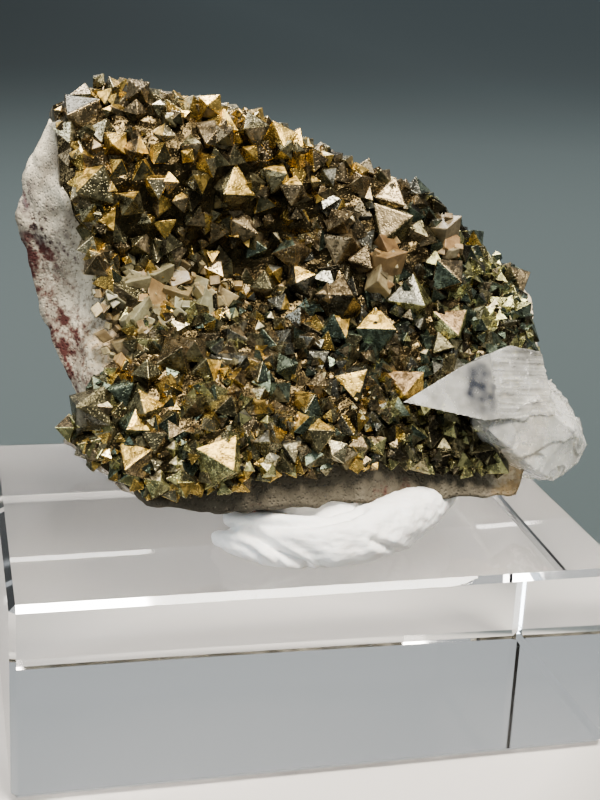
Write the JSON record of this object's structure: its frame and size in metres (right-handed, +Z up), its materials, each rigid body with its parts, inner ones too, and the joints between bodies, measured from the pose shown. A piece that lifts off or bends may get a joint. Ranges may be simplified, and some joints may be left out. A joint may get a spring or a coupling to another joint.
{
  "type": "pyrite specimen on clear block",
  "caption": "Octahedral pyrite crust on pale rock with calcite and dolomite crystals, held by white tack on a clear rectangular block.",
  "frame": {"origin": "middle of the block's bottom face, the surface that it stands on", "axes": "+Z up, +X right along the block's long front edge, the crystal-covered face towards -Y"},
  "size_m": [0.06, 0.04, 0.0635],
  "materials": {
    "clear_acrylic": "clear cast acrylic with polished faces and narrow polished chamfers",
    "white_tack": "soft white mineral tack, pressed and folded by hand",
    "carbonate_rock": "rough pale carbonate rock with red-brown hematite stains",
    "pyrite": "metallic brassy crystal faces, finely stepped, with green and dark tarnish",
    "calcite": "white translucent cleavage faces with fine parallel steps",
    "dolomite": "cream to tan satin rhombs"
  },
  "bodies": {
    "root": {"acrylic_block": "clear_acrylic", "mineral_tack": "white_tack", "matrix": "carbonate_rock", "pyrite_crust": "pyrite", "calcite_crystal": "calcite", "dolomite_pocket": "dolomite", "dolomite_center": "dolomite", "dolomite_ridge": "dolomite"}
  },
  "joints": []
}
